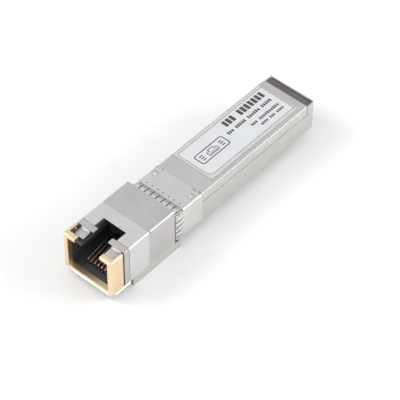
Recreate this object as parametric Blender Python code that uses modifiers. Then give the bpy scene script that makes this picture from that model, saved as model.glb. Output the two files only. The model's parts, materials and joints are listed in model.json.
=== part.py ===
"""Copper network transceiver module that plugs into a switch's cage.

A die-cast base shell with a stamped cover holds the circuit board. A shielded socket for a cable plug sits
on the shell's nose. Under the nose a wire bail turns a crank that pushes a slider, whose tines free the module
from its cage.

Design coordinates are millimetres: x across, y back from the socket's front face, z up from the nose's
underside. The finished model is in metres, with its origin under the middle of the module.
"""

import math

import bmesh
import bpy
from mathutils import Matrix, Vector

MM = 0.001

# Overall size of the module.
LENGTH = 70.0
TOP = 13.3

# How pieces meet: sheet gauge, clearance, how far a cutter stands past a face, how far a block sinks in.
SHEET = 0.2
SEAT_GAP = 0.05
OVER = 1.0
SINK = 0.1

# Pluggable body.
BODY_HALF = 6.7
BODY_BOTTOM = 2.5
BODY_TOP = 11.0
BODY_FRONT = 21.5
BODY_EDGE = 0.25
COVER_END = 67.75
INNER_HALF = 5.7
FLOOR_TOP = 3.3
FRONT_FLOOR_TOP = 3.9
FRONT_FLOOR_END = 28.2
COVER_UNDERSIDE = 10.2
SKIRT_BOTTOM = 8.05
SKIRT_INNER = 6.25
TAIL_STEP_TOP = 10.55
TAIL_STEP_BOTTOM = 10.15
TAIL_RIM_FRONT = 69.7
EDGE_WINDOW_HALF = 4.8
EDGE_WINDOW_FRONT = 59.6
LABEL_LEFT = -6.3
LABEL_RIGHT = 5.45
LABEL_FRONT = 35.3
LABEL_END = 65.5
LABEL_BOTTOM = 10.92
LABEL_TOP = 11.02
LABEL_CORNER = 0.3
LABEL_SEAT_MARGIN = 0.07
PEDESTAL_HALF = 4.2
PEDESTAL_FRONT = 40.0
PEDESTAL_END = 48.0
PEDESTAL_BOTTOM = 7.85

# Screws that hold the cover, and their bosses and posts.
SCREW_Y = {"front": 31.0, "rear": 57.2}
SCREW_R = 0.75
SCREW_HEAD_R = 1.4
SCREW_HEAD_LOW = 2.6
SCREW_HEAD_TOP = 3.2
SCREW_TIP = 8.6
BOSS_R = 1.8
POST_R = 1.7

# Spring collar round the front of the body, and the recess it lies in.
COLLAR_RECESS = 0.15
COLLAR_RECESS_END = 30.6
COLLAR_STANDS_PROUD = 0.1
COLLAR_FRONT = 21.4
COLLAR_END = 30.45
COLLAR_CORNER = 0.3
COLLAR_PITCH = 1.65
COLLAR_SLOT = 0.32
COLLAR_DOT_Y = 24.95
COLLAR_DOT_R = 0.2
SIDE_SLOT_LOW = 3.45
FINGER_END = 24.1
FINGER_BOW = 0.27
SNAP_X = 5.4
SNAP_FRONT = 27.7
SNAP_FOOT = 0.04
SNAP_CREST = 0.2

# Socket: bezel, shields, ground springs and housing.
SOCKET_HALF = 7.1
SOCKET_LENGTH = 20.85
SOCKET_BOTTOM = 2.7
SOCKET_FOLD = 0.45
BEZEL_HALF = 7.15
BEZEL_END = 4.0
BEZEL_BAR = 1.38
BEZEL_TAB_HALF = 3.75
BEZEL_WALL_INNER = 6.45
MOUTH_BOTTOM = 3.55
MOUTH_TOP = 12.35
SHIELD_FRONT = 6.1
SEAM_Y = 12.5
NOTCH_HALF = 3.38
NOTCH_END = 9.15
CLIP_FRONT = 4.4
CLIP_END = 6.0
CLIP_INNER = 2.2
CLIP_FINGER = (3.25, 6.0)
CLIP_FINGER_SHEET = 0.16
POCKET_FLOOR = 11.4
CAVITY_HALF = 5.95
CAVITY_FLOOR = 3.7
CAVITY_ROOF = 10.5
CAVITY_END = 13.4
TAB_CHANNEL_HALF = 3.1
TAB_CHANNEL_END = 12.0
HOUSING_BACK = 20.4
HOUSING_TOP = 13.02
CONTACT_PITCH = 1.02
CONTACT_R = 0.15
GROOVE_HALF = 0.24

# Nose below the socket.
NOSE_HALF = 7.0
NOSE_FRONT = 1.7
NOSE_TOP = 2.6
STOP_FACE = 22.5
STOP_TOP = 2.3
CHANNEL_HALF = 3.15
CHANNEL_FRONT = 4.3
CHANNEL_ROOF = 2.1
PLATE_HALF = 4.65
PLATE_FRONT = 9.5
PLATE_END = 20.5
PLATE_TOP = 0.24
RIVET_X = 3.95
RIVET_Y = 15.0

# Bail, crank and slider.
PIVOT_Y = 6.5
PIVOT_Z = 1.5
BAIL_WIRE_R = 0.5
BAIL_ARM_X = 6.5
BAIL_FRONT_Y = 0.75
BAIL_CORNER = 1.3
PIVOT_CORNER = 0.55
CRANK_R = 0.8
CRANK_PIN_R = 0.35
CRANK_START = math.radians(225)
CHEEK_X = 1.45
CHEEK_HALF = 0.2
SLIDER_HALF = 3.0
SLIDER_BOTTOM = 0.35
SLIDER_TOP = 1.9
SLIDER_END = 21.4
COIL_R = 0.5
COIL_WIRE_R = 0.1
COIL_Z = 1.15
COIL_FRONT = 11.2
COIL_END = 15.82
COIL_TURNS = 8

# Latch boss that locks into the cage.
LATCH_FACE = 25.0
LATCH_HALF = 1.3
LATCH_DROP = 0.45

# Circuit board and what it carries.
PCB_BOTTOM = 4.75
PCB_TOP = 5.75
PCB_FRONT = 16.6
PCB_END = 66.8
PCB_HALF = 5.3
PCB_NECK_HALF = 4.9
TONGUE_HALF = 4.6
TONGUE_START = 58.9
EDGE_PITCH = 0.8
EDGE_FINGER = 0.54
PLATING_BAR = (62.0, 62.4)
EDGE_TIP = 66.2

FINISHES = {
    "cast_nickel": ((0.60, 0.59, 0.57), 0.38, 1.0),
    "cover_nickel": ((0.66, 0.64, 0.61), 0.34, 1.0),
    "collar_nickel": ((0.72, 0.71, 0.69), 0.30, 1.0),
    "shield_light": ((0.75, 0.75, 0.74), 0.30, 1.0),
    "shield_dark": ((0.62, 0.61, 0.60), 0.34, 1.0),
    "spring_steel": ((0.66, 0.65, 0.64), 0.28, 1.0),
    "gold": ((0.85, 0.68, 0.38), 0.30, 1.0),
    "bail_steel": ((0.70, 0.69, 0.67), 0.25, 1.0),
    "black_plastic": ((0.045, 0.047, 0.050), 0.50, 0.0),
    "label_film": ((0.80, 0.82, 0.85), 0.45, 0.0),
    "board_green": ((0.03, 0.16, 0.08), 0.45, 0.0),
    "chip_black": ((0.03, 0.03, 0.03), 0.55, 0.0),
    "ceramic_tan": ((0.42, 0.32, 0.22), 0.50, 0.0),
    "ferrite_grey": ((0.13, 0.13, 0.14), 0.60, 0.0),
    "thermal_pink": ((0.60, 0.45, 0.48), 0.75, 0.0),
    "foam_grey": ((0.28, 0.28, 0.29), 0.85, 0.3),
    "film_amber": ((0.55, 0.27, 0.06), 0.35, 0.0),
}


def clear_scene():
    for old in list(bpy.data.objects):
        bpy.data.objects.remove(old, do_unlink=True)


def new_collection(name):
    group = bpy.data.collections.new(name)
    bpy.context.scene.collection.children.link(group)
    return group


def make_finish(name):
    colour, roughness, metallic = FINISHES[name]
    finish = bpy.data.materials.new(name)
    finish.use_nodes = True
    shader = finish.node_tree.nodes["Principled BSDF"]
    shader.inputs["Base Color"].default_value = (*colour, 1.0)
    shader.inputs["Roughness"].default_value = roughness
    shader.inputs["Metallic"].default_value = metallic
    return finish


clear_scene()
PARTS = new_collection("transceiver_module")
CUTTERS = new_collection("cutters")
MATERIALS = {name: make_finish(name) for name in FINISHES}


def place(x, y, z):
    """A design point in metres, with the origin under the middle of the module."""
    return Vector((x * MM, (y - LENGTH / 2) * MM, z * MM))


def add_part(name, data, finish):
    part = bpy.data.objects.new(name, data)
    data.materials.append(MATERIALS[finish])
    PARTS.objects.link(part)
    return part


def add_cutter(name, data):
    cutter = bpy.data.objects.new(name, data)
    cutter.hide_render = True
    cutter.display_type = "WIRE"
    CUTTERS.objects.link(cutter)
    return cutter


def box_mesh(name, low, high, bevel=0.0, segments=1):
    """Mesh of a box around its own middle, and that middle, from two design corners."""
    size = Vector(high) - Vector(low)
    bm = bmesh.new()
    bmesh.ops.create_cube(bm, size=1.0, matrix=Matrix.Diagonal((*(size * MM), 1.0)))
    if bevel:
        bmesh.ops.bevel(
            bm, geom=bm.edges[:], offset=bevel * MM, segments=segments, affect="EDGES", profile=0.5
        )
    mesh = bpy.data.meshes.new(name)
    bm.to_mesh(mesh)
    bm.free()
    middle = (Vector(high) + Vector(low)) / 2
    return mesh, place(*middle)


def block(name, low, high, finish, bevel=0.0, segments=1):
    mesh, middle = box_mesh(name, low, high, bevel, segments)
    part = add_part(name, mesh, finish)
    part.location = middle
    return part


def box_tool(name, low, high):
    mesh, middle = box_mesh(name, low, high)
    tool = add_cutter(name, mesh)
    tool.location = middle
    return tool


AXIS_TURNS = {
    "X": Matrix.Rotation(math.pi / 2, 4, "Y"),
    "Y": Matrix.Rotation(math.pi / 2, 4, "X"),
    "Z": Matrix.Identity(4),
}


def rod_mesh(name, radius, length, axis, sides):
    bm = bmesh.new()
    bmesh.ops.create_cone(
        bm,
        cap_ends=True,
        segments=sides,
        radius1=radius * MM,
        radius2=radius * MM,
        depth=length * MM,
        matrix=AXIS_TURNS[axis],
    )
    mesh = bpy.data.meshes.new(name)
    bm.to_mesh(mesh)
    bm.free()
    return mesh


def rod_tool(name, centre, radius, length, axis="Z", sides=20):
    tool = add_cutter(name, rod_mesh(name, radius, length, axis, sides))
    tool.location = place(*centre)
    return tool


def combine(part, tool, operation):
    change = part.modifiers.new(tool.name, "BOOLEAN")
    change.operation = operation
    change.object = tool
    change.solver = "EXACT"


def across(half, y_span, z_span):
    """Low and high corner of a box that reaches equally far to the left and to the right."""
    return (-half, y_span[0], z_span[0]), (half, y_span[1], z_span[1])


def cut_box(part, name, low, high):
    combine(part, box_tool(name, low, high), "DIFFERENCE")


def cut_both(part, name, low, high):
    """Cut a box on the right side and its mirror image on the left."""
    cut_box(part, name + "_right", low, high)
    cut_box(part, name + "_left", (-high[0], low[1], low[2]), (-low[0], high[1], high[2]))


def cut_rod(part, name, centre, radius, length, axis="Z", sides=20):
    combine(part, rod_tool(name, centre, radius, length, axis, sides), "DIFFERENCE")


def join_box(part, name, low, high):
    combine(part, box_tool(name, low, high), "UNION")


def join_rod(part, name, centre, radius, length, axis="Z", sides=20):
    combine(part, rod_tool(name, centre, radius, length, axis, sides), "UNION")


def prism_mesh(name, outline, low_x, high_x):
    """Closed outline of (y, z) design points, extruded across x."""
    bm = bmesh.new()
    corners = [bm.verts.new(place(low_x, y, z)) for y, z in outline]
    face = bm.faces.new(corners)
    grown = bmesh.ops.extrude_face_region(bm, geom=[face])
    moved = [item for item in grown["geom"] if isinstance(item, bmesh.types.BMVert)]
    bmesh.ops.translate(bm, verts=moved, vec=((high_x - low_x) * MM, 0, 0))
    bmesh.ops.recalc_face_normals(bm, faces=bm.faces[:])
    mesh = bpy.data.meshes.new(name)
    bm.to_mesh(mesh)
    bm.free()
    return mesh


def join_prism(part, name, outline, low_x, high_x):
    combine(part, add_cutter(name, prism_mesh(name, outline, low_x, high_x)), "UNION")


def rounded(points, radius, steps=4):
    """Open path through 2-D points, with an arc of the given radius at each inner corner."""
    path = [Vector(points[0])]
    for before, corner, after in zip(points, points[1:], points[2:]):
        corner = Vector(corner)
        back = (Vector(before) - corner).normalized()
        ahead = (Vector(after) - corner).normalized()
        half_angle = back.angle(ahead) / 2
        reach = radius / math.tan(half_angle)
        centre = corner + (back + ahead).normalized() * radius / math.sin(half_angle)
        first = corner + back * reach - centre
        sweep = first.angle_signed(corner + ahead * reach - centre)
        for step in range(steps + 1):
            turn = -sweep * step / steps
            cosine, sine = math.cos(turn), math.sin(turn)
            path.append(
                centre + Vector((first.x * cosine - first.y * sine, first.x * sine + first.y * cosine))
            )
    path.append(Vector(points[-1]))
    return path


def strip_outline(path, thickness):
    """Closed outline of a strip of even thickness whose middle follows an open 2-D path."""
    left, right = [], []
    for index, point in enumerate(path):
        before, after = path[max(index - 1, 0)], path[min(index + 1, len(path) - 1)]
        along = (after - before).normalized()
        across_it = Vector((-along.y, along.x)) * thickness / 2
        left.append(point + across_it)
        right.append(point - across_it)
    return [(point.x, point.y) for point in left + right[::-1]]


def thicken(part, thickness, offset):
    solid = part.modifiers.new("sheet_thickness", "SOLIDIFY")
    solid.thickness = thickness * MM
    solid.offset = offset
    solid.use_even_offset = True
    solid.use_rim = True


def folded_sheet(name, path, low_y, high_y, finish, thickness=SHEET):
    """Sheet whose outer face follows an (x, z) path and runs along y; its metal lies inside the fold."""
    bm = bmesh.new()
    front = [bm.verts.new(place(point[0], low_y, point[1])) for point in path]
    edges = [bm.edges.new(pair) for pair in zip(front, front[1:])]
    grown = bmesh.ops.extrude_edge_only(bm, edges=edges)
    moved = [item for item in grown["geom"] if isinstance(item, bmesh.types.BMVert)]
    bmesh.ops.translate(bm, verts=moved, vec=(0, (high_y - low_y) * MM, 0))
    bmesh.ops.recalc_face_normals(bm, faces=bm.faces[:])
    mesh = bpy.data.meshes.new(name)
    bm.to_mesh(mesh)
    bm.free()
    part = add_part(name, mesh, finish)
    thicken(part, thickness, -1.0)
    return part


def flat_plate(name, outlines, low_z, high_z, finish):
    """Plate from flat (x, y) outlines; outlines after the first are holes in it."""
    curve = bpy.data.curves.new(name, "CURVE")
    curve.dimensions = "2D"
    curve.fill_mode = "BOTH"
    curve.extrude = (high_z - low_z) / 2 * MM
    curve.resolution_u = 1
    curve.render_resolution_u = 0
    for outline in outlines:
        spline = curve.splines.new("POLY")
        spline.points.add(len(outline) - 1)
        for point, (x, y) in zip(spline.points, outline):
            point.co = (x * MM, (y - LENGTH / 2) * MM, 0.0, 1.0)
        spline.use_cyclic_u = True
    plate = add_part(name, curve, finish)
    plate.location = (0.0, 0.0, (low_z + high_z) / 2 * MM)
    return plate


def wire(name, points, radius, finish, bevel_resolution=2):
    """Round wire along (x, y, z) design points."""
    curve = bpy.data.curves.new(name, "CURVE")
    curve.dimensions = "3D"
    curve.fill_mode = "FULL"
    curve.bevel_depth = radius * MM
    curve.bevel_resolution = bevel_resolution
    curve.use_fill_caps = True
    curve.resolution_u = 1
    curve.render_resolution_u = 0
    spline = curve.splines.new("POLY")
    spline.points.add(len(points) - 1)
    for point, where in zip(spline.points, points):
        point.co = (*place(*where), 1.0)
    return add_part(name, curve, finish)


def turned(name, profile, centre, finish, steps=24):
    """Solid of revolution about z from an (r, z) profile that runs down its outer side."""
    bm = bmesh.new()
    line = [bm.verts.new((r * MM, 0.0, z * MM)) for r, z in profile]
    for pair in zip(line, line[1:]):
        bm.edges.new(pair)
    mesh = bpy.data.meshes.new(name)
    bm.to_mesh(mesh)
    bm.free()
    part = add_part(name, mesh, finish)
    part.location = place(*centre)
    screw = part.modifiers.new("turn", "SCREW")
    screw.axis = "Z"
    screw.steps = steps
    screw.render_steps = steps
    screw.use_merge_vertices = True
    screw.merge_threshold = 0.000001
    screw.use_smooth_shade = True
    return part


def circle(centre_x, centre_y, radius, sides=20):
    turns = (2 * math.pi * step / sides for step in range(sides))
    return [(centre_x + radius * math.cos(t), centre_y + radius * math.sin(t)) for t in turns]


def make_base_shell():
    """Die-cast lower shell: open-topped body, nose under the socket, latch boss and slider channel."""
    ahead, outside = BODY_FRONT - OVER, BODY_HALF + OVER
    below, above = BODY_BOTTOM - OVER, BODY_TOP + OVER
    cover_back = COVER_END + SEAT_GAP
    low, high = across(BODY_HALF, (BODY_FRONT, LENGTH), (BODY_BOTTOM, BODY_TOP))
    shell = block("base_shell", low, high, "cast_nickel", BODY_EDGE)
    cut_box(shell, "body_hollow", *across(INNER_HALF, (ahead, LENGTH + OVER), (FLOOR_TOP, above)))
    seat_floor = COVER_UNDERSIDE - SEAT_GAP
    cut_box(shell, "cover_seat", *across(outside, (ahead, cover_back), (seat_floor, above)))
    low = (SKIRT_INNER - SEAT_GAP, ahead, SKIRT_BOTTOM - SEAT_GAP)
    cut_both(shell, "skirt_seat", low, (outside, cover_back, above))
    low = (BODY_HALF - COLLAR_RECESS, ahead, below)
    cut_both(shell, "collar_seat_side", low, (outside, COLLAR_RECESS_END, above))
    recess = BODY_BOTTOM + COLLAR_RECESS
    cut_box(shell, "collar_seat_floor", *across(outside, (ahead, COLLAR_RECESS_END), (below, recess)))
    step = across(outside, (COVER_END, TAIL_RIM_FRONT), (TAIL_STEP_TOP, above))
    cut_box(shell, "tail_step", *step)
    roof = across(INNER_HALF + SINK, (cover_back, LENGTH), (TAIL_STEP_BOTTOM, TAIL_STEP_TOP))
    join_box(shell, "tail_roof", *roof)
    rim = across(BODY_HALF - SINK, (TAIL_RIM_FRONT, LENGTH), (TAIL_STEP_TOP - SINK, BODY_TOP))
    join_box(shell, "tail_rim", *rim)
    floor = across(INNER_HALF + SINK, (BODY_FRONT, FRONT_FLOOR_END), (recess + SEAT_GAP, FRONT_FLOOR_TOP))
    join_box(shell, "front_floor", *floor)
    add_nose(shell)
    add_latch(shell)
    for end, screw_y in SCREW_Y.items():
        join_rod(shell, "boss_" + end, (0, screw_y, 3.85), BOSS_R, 1.6)
        cut_rod(shell, "boss_hole_" + end, (0, screw_y, 4.0), SCREW_R + 0.1, 6.0)
        cut_rod(shell, "head_seat_" + end, (0, screw_y, 2.55), SCREW_HEAD_R + 0.1, 1.4)
    window = across(EDGE_WINDOW_HALF, (EDGE_WINDOW_FRONT, LENGTH + OVER), (below, FRONT_FLOOR_TOP))
    cut_box(shell, "edge_window", *window)
    return shell


def add_nose(shell):
    """Nose that carries the socket, with room for the bail's arms and the slider."""
    root_y = BODY_FRONT - 0.5
    join_box(shell, "nose", *across(NOSE_HALF, (NOSE_FRONT, root_y - SEAT_GAP), (0.0, NOSE_TOP)))
    join_box(shell, "stop_block", *across(NOSE_HALF, (root_y - SINK, STOP_FACE), (0.0, STOP_TOP)))
    join_box(shell, "nose_root", *across(6.0, (root_y, STOP_FACE), (2.0, FRONT_FLOOR_TOP - 0.02)))
    channel = across(CHANNEL_HALF, (CHANNEL_FRONT, STOP_FACE + 0.5), (-OVER, CHANNEL_ROOF))
    cut_box(shell, "slider_channel", *channel)
    arm_inner, arm_back, arm_roof = BAIL_ARM_X - 0.6, PIVOT_Y + 0.8, PIVOT_Z + 0.8
    cut_both(shell, "arm_recess", (arm_inner, 0.0, -OVER), (NOSE_HALF + OVER, arm_back, arm_roof))
    cut_rod(shell, "pivot_bore", (0, PIVOT_Y, PIVOT_Z), BAIL_WIRE_R + 0.06, 2 * NOSE_HALF, "X", 24)
    seat = across(PLATE_HALF + 0.1, (PLATE_FRONT - 0.1, PLATE_END + 0.1), (-OVER, PLATE_TOP + 0.06))
    cut_box(shell, "plate_seat", *seat)
    join_box(shell, "spring_peg", *across(0.7, (16.0, 16.7), (0.5, CHANNEL_ROOF + 0.2)))
    for side in (-1, 1):
        cut_rod(shell, f"rivet_hole_{side}", (side * RIVET_X, RIVET_Y, 0.7), 0.35, 1.6, "Z", 16)


def add_latch(shell):
    """Locking boss with a ramp towards the tail, and a slot beside it for each tine of the slider."""
    slot_low = (LATCH_HALF + 0.2, BODY_FRONT - 0.5, 2.0)
    cut_both(shell, "tine_slot", slot_low, (SLIDER_HALF + 0.25, LATCH_FACE + 1.3, 3.05))
    root = BODY_BOTTOM + COLLAR_RECESS
    inside, tip = root + 0.3, BODY_BOTTOM - LATCH_DROP
    land_end, ramp_end = LATCH_FACE + 0.6, LATCH_FACE + 2.6
    outline = [(LATCH_FACE, inside), (LATCH_FACE, tip), (land_end, tip), (ramp_end, root), (ramp_end, inside)]
    join_prism(shell, "latch_boss", outline, -LATCH_HALF, LATCH_HALF)


def make_top_cover():
    """Stamped cover with side skirts, a heat pedestal, posts for the screws and two snap bumps."""
    ahead, outside = BODY_FRONT - OVER, BODY_HALF + OVER
    below, above = SKIRT_BOTTOM - OVER, BODY_TOP + OVER
    low, high = across(BODY_HALF, (BODY_FRONT, COVER_END), (SKIRT_BOTTOM, BODY_TOP))
    cover = block("top_cover", low, high, "cover_nickel", BODY_EDGE, 2)
    cut_box(cover, "cover_hollow", *across(SKIRT_INNER, (ahead, LENGTH + OVER), (below, COVER_UNDERSIDE)))
    low = (BODY_HALF - COLLAR_RECESS, ahead, below)
    cut_both(cover, "collar_seat", low, (outside, COLLAR_RECESS_END, above))
    seat_top = across(outside, (ahead, COLLAR_RECESS_END), (BODY_TOP - COLLAR_RECESS, above))
    cut_box(cover, "collar_seat_top", *seat_top)
    pedestal_z = (PEDESTAL_BOTTOM, COVER_UNDERSIDE + 2 * SINK)
    join_box(cover, "heat_pedestal", *across(PEDESTAL_HALF, (PEDESTAL_FRONT, PEDESTAL_END), pedestal_z))
    for end, screw_y in SCREW_Y.items():
        join_rod(cover, "post_" + end, (0, screw_y, 8.1), POST_R, 4.5)
        cut_rod(cover, "post_hole_" + end, (0, screw_y, 7.3), SCREW_R + 0.06, 4.4)
    margin = LABEL_SEAT_MARGIN
    low = (LABEL_LEFT - margin, LABEL_FRONT - margin, LABEL_BOTTOM - SEAT_GAP)
    cut_box(cover, "label_seat", low, (LABEL_RIGHT + margin, LABEL_END + margin, above))
    root, foot, crest = BODY_TOP - 0.3, BODY_TOP + SNAP_FOOT, BODY_TOP + SNAP_CREST
    ramp_end, snap_end = SNAP_FRONT + 0.65, SNAP_FRONT + 1.2
    outline = [(SNAP_FRONT, root), (SNAP_FRONT, foot), (ramp_end, crest), (snap_end, crest), (snap_end, root)]
    for side in (-1, 1):
        join_prism(cover, f"snap_{side}", outline, side * SNAP_X - 0.5, side * SNAP_X + 0.5)
    return cover


def collar_outline(bow):
    """Open outline of the collar's outer face, pushed out by the given bow; its ends turn under the body."""
    out = COLLAR_STANDS_PROUD + bow
    half, low, high = BODY_HALF + out, BODY_BOTTOM - out, BODY_TOP + out
    end_x = 4.0
    corners = [(end_x, low), (half, low), (half, high), (-half, high), (-half, low), (-end_x, low)]
    return rounded(corners, COLLAR_CORNER, 3)


def make_emi_collar():
    """Spring collar: a sheet wrapped round the body, with bowed fingers parted by slots at its front."""
    crest = (COLLAR_FRONT + FINGER_END) / 2 - 0.15
    bow_at = [
        (COLLAR_FRONT, 0.02),
        (crest - 0.7, FINGER_BOW * 0.7),
        (crest, FINGER_BOW),
        (crest + 0.7, FINGER_BOW * 0.7),
        (FINGER_END, 0.0),
        (COLLAR_END, 0.0),
    ]
    bm = bmesh.new()
    rows = []
    for station_y, bow in bow_at:
        rows.append([bm.verts.new(place(point[0], station_y, point[1])) for point in collar_outline(bow)])
    for row, following in zip(rows, rows[1:]):
        for index in range(len(row) - 1):
            bm.faces.new((row[index], row[index + 1], following[index + 1], following[index]))
    bmesh.ops.recalc_face_normals(bm, faces=bm.faces[:])
    mesh = bpy.data.meshes.new("emi_collar")
    bm.to_mesh(mesh)
    bm.free()
    collar = add_part("emi_collar", mesh, "collar_nickel")
    thicken(collar, SHEET, -1.0)
    cut_collar_slots(collar)
    return collar


def cut_collar_slots(collar):
    """Slots that part the fingers, a relief dot behind each top slot, open corners and two snap windows."""
    ahead, slot_end, outside = COLLAR_FRONT - 0.4, FINGER_END - 0.1, BODY_HALF + 1.3
    inside_top, above, below = BODY_TOP - 0.5, BODY_TOP + OVER, BODY_BOTTOM - 1.5
    for column in range(-3, 4):
        middle = column * COLLAR_PITCH
        low = (middle - COLLAR_SLOT / 2, ahead, inside_top)
        cut_box(collar, f"top_slot_{column}", low, (middle + COLLAR_SLOT / 2, slot_end, above))
        cut_rod(collar, f"top_dot_{column}", (middle, COLLAR_DOT_Y, BODY_TOP), COLLAR_DOT_R, 1.0, "Z", 10)
    for row_number in range(5):
        level = SIDE_SLOT_LOW + row_number * COLLAR_PITCH
        slot = across(outside, (ahead, slot_end), (level, level + COLLAR_SLOT))
        cut_box(collar, f"side_slot_{row_number}", *slot)
    corner_x = BODY_HALF - 0.55
    cut_both(collar, "top_corner", (corner_x, ahead, BODY_TOP - 0.45), (outside, slot_end, above))
    cut_both(collar, "low_corner", (corner_x, ahead, below), (outside, slot_end, BODY_BOTTOM + 0.5))
    relief_x = (CHANNEL_HALF - 0.15, BODY_HALF - 0.3)
    low, high = (relief_x[0], ahead, below), (relief_x[1], STOP_FACE + 0.1, BODY_BOTTOM + 0.5)
    cut_both(collar, "root_relief", low, high)
    low, high = (SNAP_X - 0.6, SNAP_FRONT - 0.15, inside_top), (SNAP_X + 0.6, SNAP_FRONT + 1.35, above)
    cut_both(collar, "snap_window", low, high)


def make_label():
    """Film label that lies on the cover."""
    middle = (LABEL_FRONT + LABEL_END) / 2
    left, right = LABEL_LEFT, LABEL_RIGHT
    corners = [(left, middle), (left, LABEL_FRONT), (right, LABEL_FRONT), (right, middle)]
    front = rounded(corners, LABEL_CORNER, 3)[1:-1]
    corners = [(right, middle), (right, LABEL_END), (left, LABEL_END), (left, middle)]
    rear = rounded(corners, LABEL_CORNER, 3)[1:-1]
    return flat_plate("label", [front + rear], LABEL_BOTTOM, LABEL_TOP, "label_film")


def shield_outline():
    """Outline of the socket's shields: left wall, top and right wall."""
    half, low = SOCKET_HALF, SOCKET_BOTTOM
    return rounded([(-half, low), (-half, TOP), (half, TOP), (half, low)], SOCKET_FOLD, 4)


def make_shield_front():
    end = SEAM_Y - SEAT_GAP
    shield = folded_sheet("shield_front", shield_outline(), SHIELD_FRONT, end, "shield_light")
    cut_box(shield, "tab_notch", *across(NOTCH_HALF, (SHIELD_FRONT - OVER, NOTCH_END), (12.0, TOP + OVER)))
    return shield


def make_shield_rear():
    """Rear shield with a back wall that the circuit board passes through."""
    start, wall_front = SEAM_Y + SEAT_GAP, SOCKET_LENGTH - SHEET
    shield = folded_sheet("shield_rear", shield_outline(), start, SOCKET_LENGTH, "shield_dark")
    wall_z = (SOCKET_BOTTOM + SHEET / 4, TOP - SHEET / 2)
    wall = across(SOCKET_HALF - SHEET / 4, (wall_front, SOCKET_LENGTH), wall_z)
    join_box(shield, "rear_wall", *wall)
    window = across(5.7, (wall_front - 0.65, SOCKET_LENGTH + 0.65), (3.9, CAVITY_ROOF))
    cut_box(shield, "board_window", *window)
    low, high = (SOCKET_HALF - 0.4, SEAM_Y - 0.5, TOP - 0.5), (SOCKET_HALF + 0.5, SEAM_Y + 0.5, TOP + 0.7)
    cut_both(shield, "fold_relief", low, high)
    return shield


def make_ground_spring(side, name):
    """Clip over the socket's side: a bar on top, a wall, and a finger that dips from under the bar."""
    bar_top = TOP - SEAT_GAP
    corners = [(CLIP_INNER, bar_top), (SOCKET_HALF, bar_top), (SOCKET_HALF, SOCKET_BOTTOM)]
    path = [(side * point[0], point[1]) for point in rounded(corners, SOCKET_FOLD, 4)]
    if side < 0:
        path.reverse()
    clip = folded_sheet(name, path, CLIP_FRONT, CLIP_END, "spring_steel")
    root = bar_top - SHEET / 2
    finger_path = rounded([(5.9, root), (5.5, root), (4.25, 12.25), (2.25, 12.0)], 0.3, 4)
    low_x, high_x = sorted(side * edge for edge in CLIP_FINGER)
    join_prism(clip, name + "_finger", strip_outline(finger_path, CLIP_FINGER_SHEET), low_x, high_x)
    return clip


def make_front_bezel():
    """Frame round the socket's mouth, whose top bar is open over the plug's tab."""
    above = TOP + 0.7
    low, high = across(BEZEL_HALF, (0.0, BEZEL_END), (NOSE_TOP + SEAT_GAP, TOP))
    bezel = block("front_bezel", low, high, "gold", 0.12)
    behind = BEZEL_END + OVER
    cut_box(bezel, "bezel_mouth", *across(CAVITY_HALF, (-OVER, behind), (MOUTH_BOTTOM, MOUTH_TOP)))
    cut_box(bezel, "bezel_back", *across(BEZEL_WALL_INNER, (BEZEL_BAR, behind), (2.0, above)))
    cut_box(bezel, "bezel_tab_gap", *across(BEZEL_TAB_HALF, (-OVER, behind), (12.0, above)))
    return bezel


def make_jack_housing():
    """Black insulator: a cavity for the plug, an open channel for its tab and grooves for the contacts."""
    outer = SOCKET_HALF - SHEET - SEAT_GAP
    front, bottom, above = BEZEL_BAR + 0.1, SOCKET_BOTTOM + SEAT_GAP, TOP + 0.7
    low, high = across(outer, (front, HOUSING_BACK), (bottom, HOUSING_TOP))
    housing = block("jack_housing", low, high, "black_plastic")
    low, high = (BEZEL_WALL_INNER - SEAT_GAP, 0.0, 2.0), (outer + OVER, BEZEL_END + 0.35, above)
    cut_both(housing, "bezel_room", low, high)
    cavity = across(CAVITY_HALF, (0.0, CAVITY_END), (CAVITY_FLOOR, CAVITY_ROOF))
    cut_box(housing, "plug_cavity", *cavity)
    channel = across(TAB_CHANNEL_HALF, (0.0, TAB_CHANNEL_END), (CAVITY_ROOF - 0.5, above))
    cut_box(housing, "tab_channel", *channel)
    pocket_x = (CLIP_FINGER[0] - 0.15, CLIP_FINGER[1] + 0.15)
    low, high = (pocket_x[0], 0.0, POCKET_FLOOR), (pocket_x[1], CLIP_END + 0.2, above)
    cut_both(housing, "spring_pocket", low, high)
    chamber_front = CAVITY_END + 1.0
    cut_box(housing, "rear_chamber", *across(6.0, (chamber_front, HOUSING_BACK + 0.6), (3.2, 12.0)))
    cut_box(housing, "wire_window", *across(4.3, (CAVITY_END - 0.4, chamber_front + 0.6), (3.0, 4.3)))
    for contact in range(8):
        middle = contact_x(contact)
        low = (middle - GROOVE_HALF, 3.1, 3.1)
        cut_box(housing, f"groove_{contact}", low, (middle + GROOVE_HALF, CAVITY_END + 0.2, 4.0))
    return housing


def contact_x(index):
    return (index - 3.5) * CONTACT_PITCH


def make_contact(index):
    """Spring wire: along its groove, back over itself in a bend and up into the cavity."""
    side_path = [
        (18.2, 4.52),
        (16.5, 4.52),
        (15.7, 3.42),
        (4.6, 3.38),
        (3.9, 3.5),
        (3.7, 3.82),
        (4.1, 4.12),
        (8.0, 5.15),
        (11.6, 5.95),
    ]
    points = [(contact_x(index), y, z) for y, z in side_path]
    return wire(f"contact_{index + 1}", points, CONTACT_R, "gold")


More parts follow.
